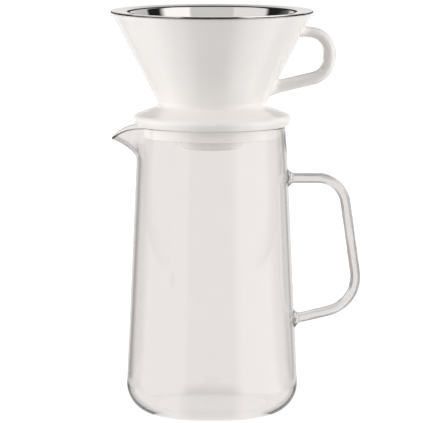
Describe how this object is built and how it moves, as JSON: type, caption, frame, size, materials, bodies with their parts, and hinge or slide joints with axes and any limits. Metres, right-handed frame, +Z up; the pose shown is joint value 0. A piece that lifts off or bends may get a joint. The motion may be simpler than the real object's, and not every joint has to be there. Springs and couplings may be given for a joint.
{
  "type": "pour-over coffee brewer",
  "caption": "Pour-over coffee brewer: tapered glass carafe with rod handle and pouring lip, porcelain dripper standing in its mouth, and a lift-out steel cone filter.",
  "frame": {"origin": "centre of the carafe's flat base, on the surface that it stands on", "axes": "+Z up along the axis of the carafe, the dripper and the filter; +X towards both handles; -X towards the pouring lip"},
  "size_m": [0.15, 0.1208, 0.2425],
  "materials": {
    "glass": "clear borosilicate glass, fire-polished",
    "porcelain": "white porcelain with a clear glaze",
    "polished_steel": "mirror-polished stainless steel",
    "pressed_steel": "satin stainless steel sheet",
    "steel_mesh": "fine woven stainless steel mesh"
  },
  "bodies": {
    "carafe": {"carafe_vessel": "glass", "carafe_handle": "glass"},
    "dripper": {"dripper_cone": "porcelain", "dripper_saucer": "porcelain", "dripper_handle": "porcelain"},
    "filter": {"filter_rim": "polished_steel", "filter_cone": "pressed_steel", "filter_mesh": "steel_mesh", "filter_base": "pressed_steel"}
  },
  "joints": [
    {"name": "dripper_lift", "type": "slide", "parent": "carafe", "child": "dripper", "axis": [0, 0, 1], "range_m": [0, 0.06]},
    {"name": "filter_lift", "type": "slide", "parent": "dripper", "child": "filter", "axis": [0, 0, 1], "range_m": [0, 0.08]}
  ]
}
